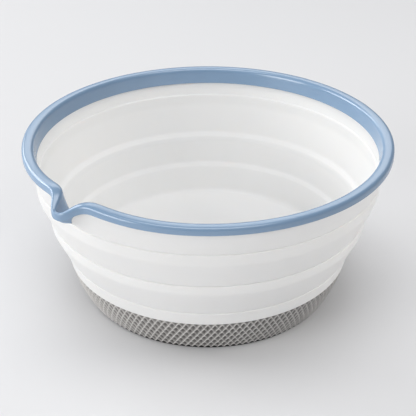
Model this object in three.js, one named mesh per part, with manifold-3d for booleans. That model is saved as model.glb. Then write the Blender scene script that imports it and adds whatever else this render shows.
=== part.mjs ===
// Collapsible brush cleaning bowl: a stiff blue rim with a pouring lip, a soft white wall that folds down
// in two tiers, and a stiff base plate that a knurled grip boot closes from below.
// Millimetres, +Z up. The origin is on the bowl's axis, on the surface it stands on. The lip points to -Y.

import * as THREE from 'three';
import { mergeVertices } from 'three/addons/utils/BufferGeometryUtils.js';
import Module from 'manifold-3d';

// Fit between pieces that slip over one another
const CLEARANCE = 0.3;

// Grip boot: a flared, slightly bellied cup with a flat sole
const BOOT_HEIGHT = 16.3;
const BOOT_FLARE = 6.7;
const BOOT_BELLY = 0.7;
const BOOT_WALL = 1.2;
const BOOT_SOLE = 2.0;
const BOOT_EDGE_ROUND = 1.4;
const BOOT_SIDE_STEPS = 4;
const SOLE_RECESS_DEPTH = 0.6;
const SOLE_RECESS_WIDTH = 22;
const SOLE_RIM_WIDTH = 12;

// Base plate: a ribbed tray, upside down, that keeps the floor flat above the sole
const PLATE_HEIGHT = 8.0;
const PLATE_WALL = 2.0;
const PLATE_RIB_WALL = 1.6;
const PLATE_RIB_COUNT = 8;
const PLATE_HUB_DIAMETER = 20;

// Wall: one soft moulding, in bands that keep their shape and cones that turn inside out
const WALL = 1.6;
const FLOOR_WALL = 2.0;
const FLOOR_FILLET = 1.5;
const CUP_BAND_HEIGHT = 5.9;
const CUP_BAND_FLARE = 1.3;
const LOWER_FOLD_HEIGHT = 12.2;
const LOWER_FOLD_FLARE = 5.0;
const MIDDLE_BAND_HEIGHT = 4.0;
const UPPER_FOLD_HEIGHT = 11.6;
const UPPER_FOLD_FLARE = 4.0;
const UPPER_BAND_HEIGHT = 4.9;
const BAND_DRAFT = 0.6;
const COLLAR_HEIGHT = 10.9;
const COLLAR_FLARE = 2.9;
const FOLD_WALL = 1.3;
const HINGE_WALL = 0.9;
const HINGE_RUN = 1.6;

// Rim: a channel that grips the collar's top edge, with a short lip outside and a deeper skirt inside
const RIM_DIAMETER = 150;
const RIM_ROOF = 2.3;
const RIM_LIP_WALL = 1.2;
const RIM_LIP_OVERLAP = 0.6;
const RIM_SKIRT_WALL = 1.2;
const RIM_SKIRT_OVERLAP = 4.3;
const RIM_ROUND = 0.8;

// Pouring lip: two shoulders that rise a little, and between them a rounded tongue pushed out and down
const LIP_REACH = 5.8;
const LIP_DIP = 4.2;
const LIP_HALF_WIDTH = 6.2;
const LIP_FULLNESS = 2.5;
const LIP_SQUARENESS = 0.85;
const LIP_THINNING = 0.66;
const SHOULDER_RISE = 1.7;
const SHOULDER_HALF_WIDTH = 24;
const SHOULDER_EDGE_DROP = 0.5;
const LIP_TAB_DROP = 3.2;
const LIP_TAB_PLACE = 5.0;
const LIP_TAB_HALF_WIDTH = 1.7;
const LIP_TAB_INSET = 0.7;
const TROUGH_DROP = 5.0;
const TROUGH_HALF_WIDTH = 8.0;
const COLLAR_STEPS = 8;
const SKIRT_STEPS = 5;
const TAB_STEPS = 3;

// Facets: whole turns, and how far the rim's facets crowd towards the lip
const SEGMENTS = 72;
const RIM_SEGMENTS = 120;
const LIP_CROWDING = 0.62;
const PLATE_SEGMENTS = 48;

// Heights of the joints between the pieces, from the sole up
const plateTop = BOOT_SOLE + PLATE_HEIGHT;
const floorTop = plateTop + FLOOR_WALL;
const cupTop = BOOT_HEIGHT + CUP_BAND_HEIGHT;
const middleLow = cupTop + LOWER_FOLD_HEIGHT;
const middleTop = middleLow + MIDDLE_BAND_HEIGHT;
const upperLow = middleTop + UPPER_FOLD_HEIGHT;
const collarLow = upperLow + UPPER_BAND_HEIGHT;
const collarTop = collarLow + COLLAR_HEIGHT;
const channelRoof = collarTop + CLEARANCE;
const rimTop = channelRoof + RIM_ROOF;
const skirtLow = channelRoof - RIM_SKIRT_OVERLAP;
const lipLow = channelRoof - RIM_LIP_OVERLAP;

// Outer radii at those heights, from the rim down
const rimRadius = RIM_DIAMETER / 2;
const collarTopRadius = rimRadius - RIM_LIP_WALL - CLEARANCE;
const collarLowRadius = collarTopRadius - COLLAR_FLARE;
const upperLowRadius = collarLowRadius - BAND_DRAFT;
const middleTopRadius = upperLowRadius - UPPER_FOLD_FLARE;
const middleLowRadius = middleTopRadius - BAND_DRAFT;
const cupTopRadius = middleLowRadius - LOWER_FOLD_FLARE;
const bootTopRadius = cupTopRadius - CUP_BAND_FLARE;
const footRadius = bootTopRadius - BOOT_FLARE;

const collarRadius = (height) => collarLowRadius + (COLLAR_FLARE * (height - collarLow)) / COLLAR_HEIGHT;

function bootRadius(height) {
  const share = height / BOOT_HEIGHT;
  return footRadius + BOOT_FLARE * share + 4 * BOOT_BELLY * share * (1 - share);
}

const insideBoot = (height) => bootRadius(height) - BOOT_WALL - CLEARANCE;

const evenly = (from, to, steps) =>
  Array.from({ length: steps + 1 }, (_, step) => THREE.MathUtils.lerp(from, to, step / steps));

function weld(geometry) {
  geometry.deleteAttribute('normal');
  geometry.deleteAttribute('uv');
  const welded = mergeVertices(geometry, 1e-4);
  welded.computeVertexNormals();
  return welded;
}

// A solid turned about the axis, from an outline of [radius, height] points whose outer side goes up.
// A dish's outline starts and ends on the axis, and a ring's closes on itself.
function turned(outline, segments = SEGMENTS) {
  const points = outline.map(([radius, height]) => new THREE.Vector2(radius, height));
  if (outline[0][0] > 0) points.push(points[0].clone());
  return new THREE.LatheGeometry(points, segments).rotateX(Math.PI / 2);
}

// Points of a quarter round between two directions, given in degrees from +radius towards +height
function roundCorner([radius, height], size, fromAngle, toAngle, steps = 2) {
  return evenly(fromAngle, toAngle, steps).map((degrees) => {
    const angle = THREE.MathUtils.degToRad(degrees);
    return [radius + size * Math.cos(angle), height + size * Math.sin(angle)];
  });
}

const bell = (value) => Math.exp(-(value ** 2));

const tongueShare = (arc) => Math.exp(-((Math.abs(arc) / LIP_HALF_WIDTH) ** LIP_FULLNESS));

// Crowds a turned solid's facets together towards the lip, then moves its points. A point's place is the
// distance round the rim from the lip's middle, the radius and the height.
function movedNearLip(geometry, ...moves) {
  const position = geometry.attributes.position;
  for (let i = 0; i < position.count; i++) {
    const [x, y] = [position.getX(i), position.getY(i)];
    const evenAngle = Math.atan2(x, -y);
    const angle = evenAngle - LIP_CROWDING * Math.sin(evenAngle);
    const start = [rimRadius * angle, Math.hypot(x, y), position.getZ(i)];
    const [arc, radius, height] = moves.reduce((place, move) => move(place), start);
    position.setXYZ(i, radius * Math.sin(arc / rimRadius), -radius * Math.cos(arc / rimRadius), height);
  }
  return geometry;
}

// Raises two shoulders beside the lip, and pushes the tongue between them out and down, with the section
// turned nearly square to the tongue's edge. The collar takes it all up gradually, from its foot.
function pouringLip([arc, radius, height]) {
  const aside = Math.abs(arc) / LIP_HALF_WIDTH;
  const tongue = THREE.MathUtils.smoothstep(height, collarLow, channelRoof) * tongueShare(arc);
  const shoulder = THREE.MathUtils.smoothstep(height, collarLow, skirtLow) * bell(arc / SHOULDER_HALF_WIDTH);
  const steepness = (LIP_REACH / LIP_HALF_WIDTH) * LIP_FULLNESS * aside ** (LIP_FULLNESS - 1) * tongue;
  const turn = Math.atan(LIP_SQUARENESS * steepness);
  const depth = (rimRadius - radius) * (1 - LIP_THINNING * tongue);
  return [
    arc - Math.sign(arc) * depth * Math.sin(turn),
    rimRadius + LIP_REACH * tongue - depth * Math.cos(turn),
    height + SHOULDER_RISE * shoulder - LIP_DIP * tongue,
  ];
}

// Lets the skirt run down into a trough at the lip. Outside, the rim's lower edge is a little deeper over the
// shoulders than under the tongue, and a small tab hangs down behind it on either side.
function lipEdges([arc, radius, height]) {
  if (height > channelRoof) return [arc, radius, height];
  let drop;
  if (radius < collarRadius(height)) {
    const share = (channelRoof - height) / RIM_SKIRT_OVERLAP;
    drop = share * TROUGH_DROP * bell(arc / TROUGH_HALF_WIDTH);
  } else {
    const share = (channelRoof - height) / RIM_LIP_OVERLAP;
    const onTab = radius < rimRadius - LIP_TAB_INSET / 2;
    const tab = onTab ? LIP_TAB_DROP * bell((Math.abs(arc) - LIP_TAB_PLACE) / LIP_TAB_HALF_WIDTH) : 0;
    drop = share * (tab + SHOULDER_EDGE_DROP * (bell(arc / SHOULDER_HALF_WIDTH) - tongueShare(arc)));
  }
  return [arc, radius - (drop * COLLAR_FLARE) / COLLAR_HEIGHT, height - drop];
}

function rim() {
  const skirtRadius = (height) => collarRadius(height) - WALL - CLEARANCE;
  const skirtTopRadius = skirtRadius(collarTop) - RIM_SKIRT_WALL;
  const skirtHeights = evenly(skirtLow, channelRoof, SKIRT_STEPS);
  const outline = [
    [rimRadius, lipLow],
    ...roundCorner([rimRadius - RIM_ROUND, rimTop - RIM_ROUND], RIM_ROUND, 0, 90),
    ...roundCorner([skirtTopRadius + RIM_ROUND, rimTop - RIM_ROUND], RIM_ROUND, 90, 180),
    ...skirtHeights.map((height) => [skirtRadius(height) - RIM_SKIRT_WALL, height]).reverse(),
    ...skirtHeights.map((height) => [skirtRadius(height), height]),
    ...evenly(channelRoof, lipLow, TAB_STEPS).map((height) => [collarRadius(height) + CLEARANCE, height]),
    [rimRadius - LIP_TAB_INSET, lipLow],
  ];
  return weld(movedNearLip(turned(outline, RIM_SEGMENTS), lipEdges, pouringLip));
}

function upperWall() {
  const outerSide = [
    [upperLowRadius, upperLow],
    ...evenly(collarLow, collarTop, COLLAR_STEPS).map((height) => [collarRadius(height), height]),
  ];
  const innerSide = outerSide.map(([radius, height]) => [radius - WALL, height]).reverse();
  return weld(movedNearLip(turned([...outerSide, ...innerSide], RIM_SEGMENTS), pouringLip));
}

// A cone between two bands, thinned on the inside at both ends, where it hinges
function foldCone(lowRadius, low, topRadius, top) {
  const outerRadius = (height) => THREE.MathUtils.mapLinear(height, low, top, lowRadius, topRadius);
  const inside = (height, wall) => [outerRadius(height) - wall, height];
  return weld(turned([
    [lowRadius, low],
    [topRadius, top],
    inside(top, HINGE_WALL),
    inside(top - HINGE_RUN, FOLD_WALL),
    inside(low + HINGE_RUN, FOLD_WALL),
    inside(low, HINGE_WALL),
  ]));
}

function middleBand() {
  return weld(turned([
    [middleLowRadius, middleLow],
    [middleTopRadius, middleTop],
    [middleTopRadius - WALL, middleTop],
    [middleLowRadius - WALL, middleLow],
  ]));
}

// The wall's lowest tier and floor, stepped in under its band to seat the boot
function baseCup() {
  const floorRadius = insideBoot(floorTop) - WALL;
  return weld(turned([
    [0, plateTop],
    [insideBoot(plateTop), plateTop],
    [insideBoot(floorTop), floorTop],
    [insideBoot(BOOT_HEIGHT), BOOT_HEIGHT],
    [bootTopRadius, BOOT_HEIGHT],
    [cupTopRadius, cupTop],
    [cupTopRadius - WALL, cupTop],
    [insideBoot(BOOT_HEIGHT) - WALL, BOOT_HEIGHT],
    [floorRadius, floorTop + FLOOR_FILLET],
    [floorRadius - FLOOR_FILLET, floorTop],
    [0, floorTop],
  ]));
}

function solidOf(geometry) {
  return new wasm.Manifold(new wasm.Mesh({
    numProp: 3,
    vertProperties: new Float32Array(geometry.attributes.position.array),
    triVerts: new Uint32Array(geometry.index.array),
  }));
}

function geometryOf(solid) {
  const mesh = solid.getMesh();
  const geometry = new THREE.BufferGeometry();
  geometry.setAttribute('position', new THREE.BufferAttribute(new Float32Array(mesh.vertProperties), 3));
  geometry.setIndex(new THREE.BufferAttribute(new Uint32Array(mesh.triVerts), 1));
  geometry.computeVertexNormals();
  return geometry;
}

function basePlate() {
  const skirtFoot = insideBoot(BOOT_SOLE);
  const tray = solidOf(weld(turned([
    [0, plateTop - PLATE_WALL],
    [skirtFoot - PLATE_WALL, plateTop - PLATE_WALL],
    [skirtFoot - PLATE_WALL, BOOT_SOLE],
    [skirtFoot, BOOT_SOLE],
    [insideBoot(plateTop), plateTop],
    [0, plateTop],
  ], PLATE_SEGMENTS)));
  const hubRadius = PLATE_HUB_DIAMETER / 2;
  const hub = solidOf(weld(turned([
    [hubRadius - PLATE_WALL, BOOT_SOLE],
    [hubRadius, BOOT_SOLE],
    [hubRadius, plateTop - PLATE_WALL / 2],
    [hubRadius - PLATE_WALL, plateTop - PLATE_WALL / 2],
  ], PLATE_SEGMENTS)));
  const ribStart = hubRadius - PLATE_WALL / 2;
  const ribLength = skirtFoot - PLATE_WALL / 2 - ribStart;
  const ribHeight = PLATE_HEIGHT - PLATE_WALL / 2;
  let plate = tray.add(hub);
  for (let i = 0; i < PLATE_RIB_COUNT; i++) {
    const rib = new THREE.BoxGeometry(ribLength, PLATE_RIB_WALL, ribHeight);
    rib.translate(ribStart + ribLength / 2, 0, BOOT_SOLE + ribHeight / 2);
    rib.rotateZ((2 * Math.PI * i) / PLATE_RIB_COUNT);
    plate = plate.add(solidOf(weld(rib)));
  }
  return geometryOf(plate);
}

function gripBoot() {
  const outerSide = evenly(BOOT_EDGE_ROUND, BOOT_HEIGHT, BOOT_SIDE_STEPS)
    .map((height) => [bootRadius(height), height]);
  const innerSide = evenly(BOOT_HEIGHT, BOOT_SOLE, BOOT_SIDE_STEPS)
    .map((height) => [bootRadius(height) - BOOT_WALL, height]);
  const edgeRadius = bootRadius(BOOT_EDGE_ROUND) - BOOT_EDGE_ROUND;
  const recessOuter = edgeRadius - SOLE_RIM_WIDTH;
  return weld(turned([
    [0, 0],
    [recessOuter - SOLE_RECESS_WIDTH, 0],
    [recessOuter - SOLE_RECESS_WIDTH, SOLE_RECESS_DEPTH],
    [recessOuter, SOLE_RECESS_DEPTH],
    [recessOuter, 0],
    ...roundCorner([edgeRadius, BOOT_EDGE_ROUND], BOOT_EDGE_ROUND, 270, 360).slice(0, -1),
    ...outerSide,
    ...innerSide,
    [0, BOOT_SOLE],
  ]));
}

const wasm = await Module();
wasm.setup();

const rimPlastic = new THREE.MeshStandardMaterial({ color: 0x9cb6d3, roughness: 0.38, metalness: 0 });
const wallSilicone = new THREE.MeshStandardMaterial({ color: 0xf0f0ee, roughness: 0.55, metalness: 0 });
const platePlastic = new THREE.MeshStandardMaterial({ color: 0xd9dbdc, roughness: 0.5, metalness: 0 });
const bootRubber = new THREE.MeshStandardMaterial({ color: 0x96928f, roughness: 0.8, metalness: 0 });

const bowl = new THREE.Group();
bowl.name = 'collapsible_bowl';

function addPiece(name, geometry, material) {
  const mesh = new THREE.Mesh(geometry, material);
  mesh.name = name;
  bowl.add(mesh);
}

addPiece('grip_boot', gripBoot(), bootRubber);
addPiece('base_plate', basePlate(), platePlastic);
addPiece('base_cup', baseCup(), wallSilicone);
addPiece('lower_fold', foldCone(cupTopRadius, cupTop, middleLowRadius, middleLow), wallSilicone);
addPiece('middle_band', middleBand(), wallSilicone);
addPiece('upper_fold', foldCone(middleTopRadius, middleTop, upperLowRadius, upperLow), wallSilicone);
addPiece('upper_wall', upperWall(), wallSilicone);
addPiece('rim', rim(), rimPlastic);

export default bowl;
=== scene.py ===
# Collapsible brush cleaning bowl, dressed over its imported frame.
# Metres, +Z up, the origin on the axis where the bowl stands, the pouring lip towards -Y.
import math

import bmesh
import bpy
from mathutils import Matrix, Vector
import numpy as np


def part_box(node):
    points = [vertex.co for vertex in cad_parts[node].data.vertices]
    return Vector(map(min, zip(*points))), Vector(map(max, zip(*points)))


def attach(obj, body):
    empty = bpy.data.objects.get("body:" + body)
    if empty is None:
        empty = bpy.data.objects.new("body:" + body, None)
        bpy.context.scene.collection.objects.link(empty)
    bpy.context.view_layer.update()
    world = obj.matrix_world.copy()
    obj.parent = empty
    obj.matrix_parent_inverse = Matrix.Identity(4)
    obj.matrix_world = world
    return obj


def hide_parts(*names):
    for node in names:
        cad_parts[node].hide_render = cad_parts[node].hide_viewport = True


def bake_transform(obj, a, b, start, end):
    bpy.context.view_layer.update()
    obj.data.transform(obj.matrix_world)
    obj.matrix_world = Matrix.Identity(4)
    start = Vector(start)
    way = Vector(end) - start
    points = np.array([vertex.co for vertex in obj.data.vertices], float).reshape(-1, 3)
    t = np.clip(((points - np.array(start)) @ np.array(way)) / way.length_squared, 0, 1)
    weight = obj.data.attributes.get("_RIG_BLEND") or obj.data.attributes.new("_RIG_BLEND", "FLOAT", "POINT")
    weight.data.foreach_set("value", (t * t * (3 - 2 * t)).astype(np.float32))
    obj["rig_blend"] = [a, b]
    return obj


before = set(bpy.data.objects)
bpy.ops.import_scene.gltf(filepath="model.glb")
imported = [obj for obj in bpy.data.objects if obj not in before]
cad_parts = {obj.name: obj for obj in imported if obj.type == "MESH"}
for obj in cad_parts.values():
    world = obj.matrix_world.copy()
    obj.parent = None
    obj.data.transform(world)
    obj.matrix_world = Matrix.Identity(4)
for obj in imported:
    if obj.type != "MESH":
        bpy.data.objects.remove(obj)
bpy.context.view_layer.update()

# Grip boot
# A cup of soft grey rubber, drawn over the base from below. Two families of fine ridges are moulded round
# its side and cross in a diamond net, and its flat sole has a shallow ring-shaped recess.
# The pits between the ridges are painted darker as shade, and a thin ring round the foot is painted
# near-black as contact shadow.
MM = 0.001
boot_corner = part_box("grip_boot")[1]
boot_height = boot_corner.z
boot_top_radius = boot_corner.x
boot_flare = 6.7 * MM
boot_belly = 0.7 * MM
boot_wall = 1.2 * MM
boot_sole = 2.0 * MM
boot_hem = 0.3 * MM
boot_foot = 0.9 * MM
foot_top = 0.81 * MM
foot_inset = 0.25 * MM
foot_round = 0.2 * MM
# Painted contact shadow: the thin ring at the boot's foot keeps only this fraction of its grey, as the
# shadow under the boot's edge.
painted_foot_shadow = 0.12
painted_shadow_tone = -1.0
plain_tone = 0.4
sole_rim_width = 12 * MM
sole_recess_width = 22 * MM
sole_recess_depth = 0.6 * MM
sole_recess_round = 0.3 * MM
net_ridges = 132
net_rows = 7
net_steps = 6
net_relief = 0.8 * MM
net_sharpness = 3.0
net_seam = 0.01 * MM
# Painted shade: the pits between the ridges are painted much darker than the ridge tops, as the shade in the
# net's hollows.
painted_pit_shade_grey = (0.14, 0.134, 0.128, 1)
ridge_grey = (0.74, 0.72, 0.70, 1)
rubber_grain = 0.25 * MM
rubber_grain_depth = 0.03 * MM
rubber_roughness = (0.55, 0.72)
rubber_sheen = 0.4


def boot_radius(height):
    share = height / boot_height
    return boot_top_radius - boot_flare * (1 - share) + 4 * boot_belly * share * (1 - share)


def add_node(tree, kind, sockets=(), **settings):
    """Adds a node. Settings are its properties, sockets its inputs: each a value or an output to link."""
    made = tree.nodes.new(kind)
    for key, value in settings.items():
        setattr(made, key, value)
    for key, value in dict(sockets).items():
        if isinstance(value, bpy.types.NodeSocket):
            tree.links.new(value, made.inputs[key])
        else:
            made.inputs[key].default_value = value
    return made


def new_finish(name):
    """A material with its node tree, its main shader and the object's own coordinates."""
    finish = bpy.data.materials.new(name)
    finish.use_nodes = True
    tree = finish.node_tree
    place = add_node(tree, "ShaderNodeTexCoord").outputs["Object"]
    return finish, tree, tree.nodes["Principled BSDF"], place


def speckle(tree, place, size, detail=2):
    """Noise whose grains are about that size, in metres."""
    sockets = {"Vector": place, "Scale": 1 / size, "Detail": detail}
    return add_node(tree, "ShaderNodeTexNoise", sockets).outputs["Fac"]


def between(tree, factor, low, high):
    """A colour that goes from low to high as the factor goes from 0 to 1."""
    ramp = add_node(tree, "ShaderNodeValToRGB", {"Fac": factor})
    ramp.color_ramp.elements[0].color = low
    ramp.color_ramp.elements[1].color = high
    return ramp.outputs["Color"]


def spread(tree, factor, ends):
    """A number that goes from one end to the other as the noise goes through its usual range."""
    sockets = {"Value": factor, "From Min": 0.3, "From Max": 0.7, "To Min": ends[0], "To Max": ends[1]}
    return add_node(tree, "ShaderNodeMapRange", sockets).outputs["Result"]


def roughen(tree, shader, height, depth):
    """Bump on a shader, whose full height stands that deep, in metres."""
    bump = add_node(tree, "ShaderNodeBump", {"Height": height, "Distance": depth})
    tree.links.new(bump.outputs["Normal"], shader.inputs["Normal"])


def boot_rubber():
    finish, tree, shader, place = new_finish("boot_rubber")
    ridge = add_node(tree, "ShaderNodeAttribute", attribute_name="ridge").outputs["Fac"]
    # Painted shade: the grey runs from the rubber's grey on the ridge tops down to a dark painted shade in
    # the pits.
    grey = between(tree, ridge, painted_pit_shade_grey, ridge_grey)
    # Painted shadow: where the tone is below zero, at the foot ring, the grey is dimmed to a near-black
    # painted contact shadow.
    sockets = {"Value": ridge, "From Min": painted_shadow_tone, "From Max": 0.0, "To Min": painted_foot_shadow, "To Max": 1.0}
    light = add_node(tree, "ShaderNodeMapRange", sockets).outputs["Result"]
    shaded = add_node(tree, "ShaderNodeVectorMath", {0: grey, "Scale": light}, operation="SCALE")
    tree.links.new(shaded.outputs[0], shader.inputs["Base Color"])
    grain = speckle(tree, place, rubber_grain)
    tree.links.new(spread(tree, grain, rubber_roughness), shader.inputs["Roughness"])
    roughen(tree, shader, grain, rubber_grain_depth)
    shader.inputs["Specular IOR Level"].default_value = rubber_sheen
    return finish


def ridge_net_tree():
    """A flat grid, wrapped round the boot's side and raised along two families of ridges that cross."""
    tree = bpy.data.node_groups.new("ridge_net", "GeometryNodeTree")
    tree.interface.new_socket("Geometry", in_out="OUTPUT", socket_type="NodeSocketGeometry")
    for name in ("Ridges", "Rows", "Steps"):
        tree.interface.new_socket(name, in_out="INPUT", socket_type="NodeSocketInt")
    for name in ("Low", "High", "Height", "Top Radius", "Flare", "Belly", "Relief", "Sharpness"):
        tree.interface.new_socket(name, in_out="INPUT", socket_type="NodeSocketFloat")
    tree.interface.new_socket("Rubber", in_out="INPUT", socket_type="NodeSocketMaterial")
    size = add_node(tree, "NodeGroupInput").outputs

    def calc(operation, *values):
        return add_node(tree, "ShaderNodeMath", enumerate(values), operation=operation).outputs[0]

    grid = add_node(tree, "GeometryNodeMeshGrid", {
        "Size X": 1.0,
        "Size Y": 1.0,
        "Vertices X": calc("MULTIPLY_ADD", size["Ridges"], size["Steps"], 1.0),
        "Vertices Y": calc("MULTIPLY_ADD", size["Rows"], size["Steps"], 1.0),
    })
    position = add_node(tree, "GeometryNodeInputPosition").outputs[0]
    flat = add_node(tree, "ShaderNodeSeparateXYZ", {"Vector": position}).outputs
    rise = calc("ADD", flat["Y"], 0.5)
    along = calc("MULTIPLY", calc("ADD", flat["X"], 0.5), size["Ridges"])
    up = calc("MULTIPLY", rise, size["Rows"])

    def ridge_height(count):
        from_pit = calc("ABSOLUTE", calc("SUBTRACT", calc("FRACT", count), 0.5))
        return calc("POWER", calc("MULTIPLY", from_pit, 2.0), size["Sharpness"])

    ridge = calc("MAXIMUM", ridge_height(along), ridge_height(calc("ADD", along, up)))
    turn = calc("MULTIPLY_ADD", up, 0.5, along)
    angle = calc("MULTIPLY", calc("DIVIDE", turn, size["Ridges"]), 2 * math.pi)
    height = calc("MULTIPLY_ADD", rise, calc("SUBTRACT", size["High"], size["Low"]), size["Low"])
    share = calc("DIVIDE", height, size["Height"])
    rest = calc("SUBTRACT", 1.0, share)
    drawn_in = calc("SUBTRACT", size["Top Radius"], calc("MULTIPLY", size["Flare"], rest))
    belly = calc("MULTIPLY", calc("MULTIPLY", share, rest), calc("MULTIPLY", size["Belly"], 4.0))
    side = calc("ADD", drawn_in, belly)
    sunk = calc("SUBTRACT", side, size["Relief"])
    radius = calc("MULTIPLY_ADD", ridge, size["Relief"], sunk)
    wrapped = add_node(tree, "ShaderNodeCombineXYZ", {
        "X": calc("MULTIPLY", radius, calc("SINE", angle)),
        "Y": calc("MULTIPLY", radius, calc("MULTIPLY", calc("COSINE", angle), -1.0)),
        "Z": height,
    }).outputs[0]
    named = add_node(tree, "GeometryNodeStoreNamedAttribute",
                     {"Geometry": grid.outputs["Mesh"], "Name": "ridge", "Value": ridge},
                     data_type="FLOAT", domain="POINT").outputs[0]
    net = add_node(tree, "GeometryNodeSetPosition", {"Geometry": named, "Position": wrapped}).outputs[0]
    net = add_node(tree, "GeometryNodeMergeByDistance", {"Geometry": net, "Distance": net_seam}).outputs[0]
    net = add_node(tree, "GeometryNodeTriangulate", {"Mesh": net},
                   quad_method="SHORTEST_DIAGONAL").outputs[0]
    net = add_node(tree, "GeometryNodeRealizeInstances", {"Geometry": net}).outputs[0]
    net = add_node(tree, "GeometryNodeSetMaterial",
                   {"Geometry": net, "Material": size["Rubber"]}).outputs[0]
    add_node(tree, "NodeGroupOutput", {"Geometry": net})
    return tree


def ridge_net_mesh(rubber):
    """The net as a plain mesh: an open sleeve from the boot's foot to its hem."""
    seed = bpy.data.objects.new("ridge_net_seed", bpy.data.meshes.new("ridge_net_seed"))
    bpy.context.scene.collection.objects.link(seed)
    modifier = seed.modifiers.new("ridge_net", "NODES")
    modifier.node_group = ridge_net_tree()
    sizes = {
        "Ridges": net_ridges, "Rows": net_rows, "Steps": net_steps,
        "Low": boot_foot, "High": boot_height - boot_hem, "Height": boot_height,
        "Top Radius": boot_top_radius, "Flare": boot_flare, "Belly": boot_belly,
        "Relief": net_relief, "Sharpness": net_sharpness, "Rubber": rubber,
    }
    for socket in modifier.node_group.interface.items_tree:
        if socket.in_out == "INPUT":
            modifier[socket.identifier] = sizes[socket.name]
    evaluated = seed.evaluated_get(bpy.context.evaluated_depsgraph_get())
    mesh = bpy.data.meshes.new_from_object(evaluated)
    bpy.data.objects.remove(seed)
    return mesh


def carry_on(shell, ring, outline):
    """Extends a shell from a ring of edges through an outline of (radius, height, tone) points, and closes
    its end. The tone stands in the ridges' attribute, which gives the rubber its grey; a tone below zero,
    at the foot ring, dims that grey to near-black as painted contact shadow."""
    ridge = shell.verts.layers.float["ridge"]
    for radius, height, tone in outline:
        grown = bmesh.ops.extrude_edge_only(shell, edges=ring)["geom"]
        corners = {part for part in grown if isinstance(part, bmesh.types.BMVert)}
        edges = [part for part in grown if isinstance(part, bmesh.types.BMEdge)]
        ring = [edge for edge in edges if corners.issuperset(edge.verts)]
        for corner in corners:
            reach = radius / corner.co.xy.length
            corner.co = (corner.co.x * reach, corner.co.y * reach, height)
            corner[ridge] = tone
    bmesh.ops.contextual_create(shell, geom=ring)


def finish_mesh(name, mesh, material, sharp_angle=40):
    """Makes the mesh an object: smooth, with its sharper edges kept crisp."""
    mesh.name = name
    mesh.shade_smooth()
    mesh.set_sharp_from_angle(angle=math.radians(sharp_angle))
    mesh.materials.clear()
    mesh.materials.append(material)
    piece = bpy.data.objects.new(name, mesh)
    bpy.context.scene.collection.objects.link(piece)
    return piece


def grip_boot_mesh(rubber):
    edge_radius = boot_radius(0) - foot_inset
    recess_outer = edge_radius - sole_rim_width
    recess_inner = recess_outer - sole_recess_width
    # The first three points, round the foot's edge, carry the tone of the painted contact shadow.
    foot = [
        (edge_radius, foot_top, painted_shadow_tone),
        (edge_radius, foot_round, painted_shadow_tone),
        (edge_radius - foot_round, 0, painted_shadow_tone),
        (edge_radius - 2 * foot_round, 0, plain_tone),
        (recess_outer + sole_recess_round, 0, plain_tone),
        (recess_outer, sole_recess_round, plain_tone),
        (recess_outer - sole_recess_round, sole_recess_depth, plain_tone),
        (recess_inner + sole_recess_round, sole_recess_depth, plain_tone),
        (recess_inner, sole_recess_round, plain_tone),
        (recess_inner - sole_recess_round, 0, plain_tone),
    ]
    inside = [
        (boot_top_radius - net_relief, boot_height, plain_tone),
        (boot_top_radius - boot_wall + boot_hem / 2, boot_height, plain_tone),
    ]
    inside_steps = 6
    for step in range(inside_steps + 1):
        height = boot_height - boot_hem + (boot_sole - boot_height + boot_hem) * step / inside_steps
        inside.append((boot_radius(height) - boot_wall, height, plain_tone))
    mesh = ridge_net_mesh(rubber)
    shell = bmesh.new()
    shell.from_mesh(mesh)
    middle = boot_height / 2
    border = [edge for edge in shell.edges if edge.is_boundary]
    lower = [edge for edge in border if edge.verts[0].co.z < middle]
    upper = [edge for edge in border if edge.verts[0].co.z > middle]
    carry_on(shell, lower, foot)
    carry_on(shell, upper, inside)
    bmesh.ops.recalc_face_normals(shell, faces=shell.faces)
    shell.to_mesh(mesh)
    shell.free()
    return mesh


rubber = boot_rubber()
boot = finish_mesh("knurled_boot", grip_boot_mesh(rubber), rubber, sharp_angle=80)
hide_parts("grip_boot")
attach(boot, "base")

# Base plate
# A stiff ribbed tray of off-white moulded plastic, upside down between the sole and the bowl's floor.
# The boot closes it in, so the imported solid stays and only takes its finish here.
plate_white = (0.66, 0.67, 0.67, 1)
plate_shade = (0.58, 0.59, 0.60, 1)
plate_cloud = 9 * MM
plate_grain = 0.4 * MM
plate_grain_depth = 0.02 * MM
plate_roughness = (0.42, 0.56)


def plate_plastic():
    finish, tree, shader, place = new_finish("plate_plastic")
    cloud = speckle(tree, place, plate_cloud)
    tree.links.new(between(tree, cloud, plate_shade, plate_white), shader.inputs["Base Color"])
    grain = speckle(tree, place, plate_grain)
    tree.links.new(spread(tree, grain, plate_roughness), shader.inputs["Roughness"])
    roughen(tree, shader, grain, plate_grain_depth)
    return finish


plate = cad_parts["base_plate"]
plate.data.materials.clear()
plate.data.materials.append(plate_plastic())

# Lower wall
# The lower half of the soft white moulding, in satin, slightly translucent silicone: the bowl's flat floor,
# its lowest tier, the short band that the boot's hem meets, the lower fold cone and the ring above it.
# The cone turns inside out when the bowl is pushed flat.
floor_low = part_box("base_cup")[0].z
floor_top = floor_low + 2.0 * MM
floor_edge_radius = 54.3 * MM
floor_fillet = 1.8 * MM
cup_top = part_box("base_cup")[1].z
cup_top_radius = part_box("base_cup")[1].x
cup_ledge_radius = 58.6 * MM
cup_ledge_top = cup_top + 1.2 * MM
middle_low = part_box("middle_band")[0].z
middle_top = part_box("middle_band")[1].z
middle_top_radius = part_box("middle_band")[1].x
band_draft = 0.6 * MM
band_swell = 0.5 * MM
middle_low_radius = middle_top_radius - band_draft + band_swell
middle_ledge_radius = 63.4 * MM
middle_ledge_top = middle_top - 1.3 * MM
ledge_slope = 1.7 * MM
ledge_face = 1.8 * MM
ledge_draft = 0.7 * MM
ledge_round = 0.45 * MM
seat_gap = 0.3 * MM
hem_round = 0.3 * MM
fold_line_depth = 0.5 * MM
fold_line_half = 0.4 * MM
fold_line_ease = 0.12 * MM
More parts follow.
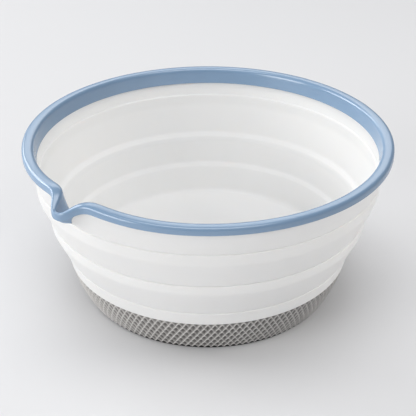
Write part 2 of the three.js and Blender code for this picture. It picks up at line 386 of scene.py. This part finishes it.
cup_edge_step = 0.1 * MM
lower_cone_step = 0.15 * MM
tier_edge_round = 1.1 * MM
wall_row = 0.5 * MM
wall_turns = 288
silicone_white = (0.82, 0.82, 0.815, 1)
silicone_shade = (0.805, 0.805, 0.8, 1)
silicone_cloud = 14 * MM
silicone_grain = 0.3 * MM
silicone_grain_depth = 0.01 * MM
silicone_roughness = (0.4, 0.5)
silicone_sheen = 0.3
silicone_glow = 0.25
silicone_glow_depth = 0.6 * MM
silicone_glow_warmth = (1.0, 0.9, 0.8)


def wall_silicone():
    finish, tree, shader, place = new_finish("wall_silicone")
    cloud = speckle(tree, place, silicone_cloud)
    tree.links.new(between(tree, cloud, silicone_shade, silicone_white), shader.inputs["Base Color"])
    grain = speckle(tree, place, silicone_grain, detail=3)
    tree.links.new(spread(tree, grain, silicone_roughness), shader.inputs["Roughness"])
    roughen(tree, shader, grain, silicone_grain_depth)
    shader.inputs["Specular IOR Level"].default_value = silicone_sheen
    shader.inputs["Subsurface Weight"].default_value = silicone_glow
    shader.inputs["Subsurface Radius"].default_value = silicone_glow_warmth
    shader.inputs["Subsurface Scale"].default_value = silicone_glow_depth
    return finish


def eased(corners, steps=5):
    """An outline's points, from (radius, height, ease) corners. An eased corner is a curve that leaves the
    outline that far before the corner and joins it again as far behind."""
    points = []
    for i, (radius, height, ease) in enumerate(corners):
        corner = Vector((radius, height))
        if ease == 0:
            points.append(corner)
            continue
        before = Vector(corners[i - 1][:2]) - corner
        after = Vector(corners[(i + 1) % len(corners)][:2]) - corner
        leave = corner + before.normalized() * ease
        join = corner + after.normalized() * ease
        for step in range(steps + 1):
            t = step / steps
            points.append(leave.lerp(corner, t).lerp(corner.lerp(join, t), t))
    return points


def fine_rows(outline, tallest):
    """The same closed outline with no stretch taller than that, so that it can bend."""
    points = []
    for here, after in zip(outline, outline[1:] + outline[:1]):
        steps = max(1, math.ceil(abs(after.y - here.y) / tallest))
        points += [here.lerp(after, step / steps) for step in range(steps)]
    return points


def turned(name, outline, turns, crowding=0.0):
    """A mesh turned about the axis from an outline whose outer side goes up. A dish's outline starts and
    ends on the axis, and a ring's closes on itself. Crowding draws the turns together near the lip."""
    corners = []
    rings = []
    for radius, height in outline:
        first = len(corners)
        if radius == 0:
            corners.append((0, 0, height))
            rings.append([first] * turns)
            continue
        for turn in range(turns):
            even = 2 * math.pi * turn / turns
            angle = even - crowding * math.sin(even)
            corners.append((radius * math.sin(angle), -radius * math.cos(angle), height))
        rings.append(range(first, first + turns))
    if outline[0][0] > 0:
        rings.append(rings[0])
    faces = []
    for low, high in zip(rings, rings[1:]):
        for turn in range(turns):
            after = (turn + 1) % turns
            face = dict.fromkeys((low[turn], low[after], high[after], high[turn]))
            faces.append(tuple(face))
    mesh = bpy.data.meshes.new(name)
    mesh.from_pydata(corners, [], faces)
    mesh.update()
    return mesh


def inside_boot(height):
    return boot_radius(height) - boot_wall - seat_gap


def ledge(radius, height):
    """A narrow ledge inside the wall: a slope in to its rounded edge, and a short face below."""
    return [
        (radius + ledge_slope, height + ledge_slope, 0),
        (radius, height, ledge_round),
        (radius - ledge_draft, height - ledge_face, ledge_round),
    ]


lower_outline = eased([
    (0, floor_low, 0),
    (inside_boot(floor_low), floor_low, 0),
    (inside_boot(floor_top), floor_top, 0),
    (inside_boot(boot_height), boot_height, 0),
    (boot_top_radius, boot_height, hem_round),
    (cup_top_radius - cup_edge_step, cup_top - fold_line_half, fold_line_ease),
    (cup_top_radius - fold_line_depth, cup_top, fold_line_ease),
    (cup_top_radius + lower_cone_step, cup_top + fold_line_half, fold_line_ease),
    (middle_low_radius, middle_low, tier_edge_round),
    (middle_top_radius, middle_top - fold_line_half, fold_line_ease),
    (middle_top_radius - fold_line_depth, middle_top, 0),
    (middle_ledge_radius - ledge_draft, middle_ledge_top - ledge_face, 0),
    *ledge(cup_ledge_radius, cup_ledge_top),
    (floor_edge_radius, floor_top, floor_fillet),
    (0, floor_top, 0),
])
silicone = wall_silicone()
lower_mesh = turned("lower_wall", fine_rows(lower_outline, wall_row), wall_turns)
lower_wall = finish_mesh("lower_wall", lower_mesh, silicone)
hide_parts("base_cup", "lower_fold", "middle_band")
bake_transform(lower_wall, "base", "middle", start=(0, 0, cup_top), end=(0, 0, middle_low))

# Upper wall
# The upper half of the same moulding: the upper fold cone, a short band and, above a fold line, the flared
# collar that carries the rim. Under the pouring lip the collar is drawn out, less and less to its foot.
upper_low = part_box("upper_wall")[0].z
upper_low_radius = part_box("upper_fold")[1].x
upper_cone_step = 0.1 * MM
upper_band_height = 4.9 * MM
collar_low = upper_low + upper_band_height
collar_low_radius = upper_low_radius + band_draft
collar_flare = 2.9 * MM
collar_height = 10.9 * MM
collar_top = collar_low + collar_height
collar_wall = 1.6 * MM
collar_edge_round = 0.2 * MM
collar_ledge_top = collar_low + 1.2 * MM
collar_ledge_radius = 68.65 * MM
collar_ledge_round = 0.4 * MM
upper_band_inside = 68.35 * MM
upper_band_inside_low = upper_low + 1.6 * MM
fold_gap = 0.02 * MM
channel_roof = collar_top + seat_gap
skirt_low = channel_roof - 4.3 * MM
rim_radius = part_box("rim")[1].x
lip_reach = 5.8 * MM
lip_dip = 4.2 * MM
lip_half_width = 6.2 * MM
lip_fullness = 2.5
lip_squareness = 0.85
lip_thinning = 0.66
shoulder_rise = 1.7 * MM
shoulder_half_width = 24 * MM
lip_turns = 400
lip_crowding = 0.62


def collar_radius(height):
    return collar_low_radius + collar_flare * (height - collar_low) / collar_height


def smooth_step(value, low, high):
    share = min(1.0, max(0.0, (value - low) / (high - low)))
    return share * share * (3 - 2 * share)


def bell(value):
    return math.exp(-(value ** 2))


def tongue_share(arc):
    return math.exp(-((abs(arc) / lip_half_width) ** lip_fullness))


def form_pouring_lip(mesh):
    """Raises two shoulders beside the lip, and pushes the tongue between them out and down, with the
    section turned nearly square to the tongue's edge. The collar takes it up gradually, from its foot."""
    for corner in mesh.vertices:
        x, y, height = corner.co
        arc = rim_radius * math.atan2(x, -y)
        aside = abs(arc) / lip_half_width
        tongue = smooth_step(height, collar_low, channel_roof) * tongue_share(arc)
        shoulder = smooth_step(height, collar_low, skirt_low) * bell(arc / shoulder_half_width)
        steepness = lip_reach / lip_half_width * lip_fullness * aside ** (lip_fullness - 1) * tongue
        turn = math.copysign(math.atan(lip_squareness * steepness), arc)
        depth = (rim_radius - math.hypot(x, y)) * (1 - lip_thinning * tongue)
        angle = (arc - depth * math.sin(turn)) / rim_radius
        radius = rim_radius + lip_reach * tongue - depth * math.cos(turn)
        lift = shoulder_rise * shoulder - lip_dip * tongue
        corner.co = (radius * math.sin(angle), -radius * math.cos(angle), height + lift)
    mesh.update()


collar_foot_inside = collar_radius(collar_ledge_top) - collar_wall
upper_outline = eased([
    (middle_ledge_radius - ledge_draft, middle_ledge_top - ledge_face + fold_gap, 0),
    (middle_top_radius - fold_line_depth, middle_top + fold_gap, 0),
    (middle_top_radius + upper_cone_step, middle_top + fold_line_half, fold_line_ease),
    (upper_low_radius + band_swell, upper_low, tier_edge_round),
    (collar_low_radius, collar_low - fold_line_half, fold_line_ease),
    (collar_low_radius - fold_line_depth, collar_low, fold_line_ease),
    (collar_radius(collar_low + fold_line_half), collar_low + fold_line_half, fold_line_ease),
    (collar_radius(collar_top), collar_top, collar_edge_round),
    (collar_radius(collar_top) - collar_wall, collar_top, collar_edge_round),
    (collar_foot_inside, collar_ledge_top + collar_ledge_round, collar_edge_round),
    (collar_ledge_radius, collar_ledge_top, collar_ledge_round),
    (upper_band_inside, upper_band_inside_low, tier_edge_round),
    *ledge(middle_ledge_radius, middle_ledge_top)[:2],
])
upper_mesh = turned("upper_wall", fine_rows(upper_outline, wall_row), lip_turns, lip_crowding)
form_pouring_lip(upper_mesh)
upper_wall = finish_mesh("upper_wall.soft", upper_mesh, silicone)
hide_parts("upper_fold", "upper_wall")
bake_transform(upper_wall, "middle", "upper", start=(0, 0, middle_top), end=(0, 0, upper_low))

# Rim
# One stiff moulding in satin powder-blue plastic: a channel pressed over the collar's top edge, with a
# short lip outside, a deeper skirt inside, and the pouring lip formed in it.
rim_top = channel_roof + 2.3 * MM
rim_wall = 1.2 * MM
rim_lip_low = channel_roof - 0.6 * MM
rim_outer_ease = 1.4 * MM
rim_inner_ease = 1.5 * MM
rim_edge_ease = 0.35 * MM
shoulder_edge_drop = 0.5 * MM
lip_tab_drop = 4.6 * MM
lip_tab_place = 3.4 * MM
lip_tab_half_width = 1.5 * MM
lip_tab_inset = 1.2 * MM
trough_drop = 5.0 * MM
trough_half_width = 8.0 * MM
rim_blue = (0.225, 0.36, 0.54, 1)
rim_blue_shade = (0.21, 0.339, 0.513, 1)
rim_cloud = 11 * MM
rim_grain = 0.22 * MM
rim_grain_depth = 0.006 * MM
rim_roughness = (0.18, 0.25)
rim_ior = 1.6
rim_sheen = 0.9


def rim_plastic():
    finish, tree, shader, place = new_finish("rim_plastic")
    cloud = speckle(tree, place, rim_cloud)
    tree.links.new(between(tree, cloud, rim_blue_shade, rim_blue), shader.inputs["Base Color"])
    grain = speckle(tree, place, rim_grain, detail=3)
    tree.links.new(spread(tree, grain, rim_roughness), shader.inputs["Roughness"])
    roughen(tree, shader, grain, rim_grain_depth)
    shader.inputs["IOR"].default_value = rim_ior
    shader.inputs["Specular IOR Level"].default_value = rim_sheen
    return finish


def skirt_radius(height):
    return collar_radius(height) - collar_wall - seat_gap


def cut_lip_edges(mesh):
    """Lets the inner skirt run down into a trough at the lip. Outside, the rim's lower edge is a little
    deeper over the shoulders than under the tongue, and a small tab hangs behind it on either side."""
    lean = collar_flare / collar_height
    for corner in mesh.vertices:
        x, y, height = corner.co
        if height > channel_roof:
            continue
        radius = math.hypot(x, y)
        angle = math.atan2(x, -y)
        arc = rim_radius * angle
        if radius > collar_radius(height):
            share = (channel_roof - height) / (channel_roof - rim_lip_low)
            on_tab = smooth_step(rim_radius - radius, 0, lip_tab_inset)
            tab = on_tab * bell((abs(arc) - lip_tab_place) / lip_tab_half_width)
            deeper = bell(arc / shoulder_half_width) - tongue_share(arc)
            drop = share * (lip_tab_drop * tab + shoulder_edge_drop * deeper)
        else:
            share = (channel_roof - height) / (channel_roof - skirt_low)
            drop = share * trough_drop * bell(arc / trough_half_width)
        radius -= lean * drop
        corner.co = (radius * math.sin(angle), -radius * math.cos(angle), height - drop)


rim_outline = eased([
    (rim_radius, rim_lip_low, rim_edge_ease),
    (rim_radius, rim_top, rim_outer_ease),
    (skirt_radius(collar_top) - rim_wall, rim_top, rim_inner_ease),
    (skirt_radius(skirt_low) - rim_wall, skirt_low, rim_edge_ease),
    (skirt_radius(skirt_low), skirt_low, rim_edge_ease),
    (skirt_radius(channel_roof), channel_roof, 0),
    (collar_radius(channel_roof) + seat_gap, channel_roof, 0),
    (collar_radius(rim_lip_low) + seat_gap, rim_lip_low, 0),
    (rim_radius - lip_tab_inset, rim_lip_low, 0),
])
rim_mesh = turned("pouring_rim", fine_rows(rim_outline, wall_row), lip_turns, lip_crowding)
cut_lip_edges(rim_mesh)
form_pouring_lip(rim_mesh)
rim = finish_mesh("pouring_rim", rim_mesh, rim_plastic())
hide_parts("rim")
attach(rim, "upper")

# Floor and backdrop
# A wide pale studio floor, seamless to the horizon, faintly mottled so that it isn't a flat colour.
floor_half_width = 6.0
floor_pale = (0.695, 0.7, 0.715, 1)
floor_shade = (0.68, 0.685, 0.7, 1)
floor_cloud = 0.4
floor_roughness = 0.7
floor_sheen = 0.15


def studio_floor():
    finish, tree, shader, place = new_finish("studio_floor")
    cloud = speckle(tree, place, floor_cloud)
    tree.links.new(between(tree, cloud, floor_shade, floor_pale), shader.inputs["Base Color"])
    shader.inputs["Roughness"].default_value = floor_roughness
    shader.inputs["Specular IOR Level"].default_value = floor_sheen
    return finish


def floor_sheet():
    reach = floor_half_width
    corners = [(-reach, -reach, 0), (reach, -reach, 0), (reach, reach, 0), (-reach, reach, 0)]
    mesh = bpy.data.meshes.new("studio_floor")
    mesh.from_pydata(corners, [], [(0, 1, 2, 3)])
    return mesh


stage_floor = finish_mesh("studio_floor", floor_sheet(), studio_floor())

# Camera
# A long lens that looks down at the bowl, with the pouring lip to its left.
lip_to_camera = math.radians(42.3)
camera_distance = 0.3574
camera_height = 0.2391
camera_pitch = math.radians(60.11)
film_width = 36
focal_length = 84.07
lens = bpy.data.cameras.new("photo_lens")
lens.sensor_width = film_width
lens.lens = focal_length
camera = bpy.data.objects.new("photo_camera", lens)
bpy.context.scene.collection.objects.link(camera)
camera.location = (
    camera_distance * math.sin(lip_to_camera),
    -camera_distance * math.cos(lip_to_camera),
    camera_height,
)
camera.rotation_euler = (camera_pitch, 0, lip_to_camera)
bpy.context.scene.camera = camera

# Lights
# Soft panels in an even pale surround: three on the camera's left light the bowl, with one above it and
# one behind. Two weak, warm ones stand in for the light that comes through the thin wall, so they reach
# only the wall and the floor.
to_right = Vector((math.cos(lip_to_camera), math.sin(lip_to_camera), 0))
away = Vector((-math.sin(lip_to_camera), math.cos(lip_to_camera), 0))
upwards = Vector((0, 0, 1))
aim = Vector((0, 0, 30 * MM))
daylight = (1.0, 0.995, 0.985)
overhead_white = (0.99, 0.99, 1.0)
backlight_white = (0.98, 0.99, 1.0)
right_warmth = (1.0, 0.96, 0.9)
front_warmth = (1.0, 0.98, 0.95)
surround_white = (0.98, 0.985, 1.0, 1)
surround_strength = 0.36


def soft_lamp(name, place, panel, power, colour):
    """A panel of that width and height, aimed at the bowl. Its place is in metres to the camera's right,
    away from the camera and up."""
    lamp = bpy.data.lights.new(name, "AREA")
    lamp.shape = "RECTANGLE"
    lamp.size, lamp.size_y = panel
    lamp.energy = power
    lamp.color = colour
    stand = bpy.data.objects.new(name, lamp)
    bpy.context.scene.collection.objects.link(stand)
    stand.location = place[0] * to_right + place[1] * away + place[2] * upwards
    stand.rotation_euler = (aim - stand.location).to_track_quat("-Z", "Y").to_euler()
    return stand


soft_lamp("key_lamp", (-1.20, 0.44, 0.57), (0.8, 0.45), 7.0, daylight)
soft_lamp("left_lamp", (-0.89, -0.62, 0.39), (0.6, 0.6), 4.7, daylight)
soft_lamp("rear_lamp", (-0.76, 1.01, 0.60), (0.5, 0.35), 2.4, daylight)
right_lamp = soft_lamp("right_lamp", (1.04, 0.09, 0.49), (0.6, 0.6), 3.4, right_warmth)
front_lamp = soft_lamp("front_lamp", (0.30, -0.82, 0.74), (0.6, 0.6), 2.7, front_warmth)
soft_lamp("top_lamp", (0, 0.04, 1.15), (0.7, 0.7), 4.2, overhead_white)
soft_lamp("back_lamp", (0, 1.19, 0.74), (0.85, 0.37), 1.9, backlight_white)

wall_and_floor = bpy.data.collections.new("wall_and_floor")
for lit in (lower_wall, upper_wall, stage_floor):
    wall_and_floor.objects.link(lit)
for lamp in (right_lamp, front_lamp):
    lamp.light_linking.receiver_collection = wall_and_floor

surround = bpy.data.worlds.new("surround")
surround.use_nodes = True
sky = surround.node_tree.nodes["Background"]
sky.inputs["Color"].default_value = surround_white
sky.inputs["Strength"].default_value = surround_strength
bpy.context.scene.world = surround
bpy.context.scene.view_settings.view_transform = "Standard"
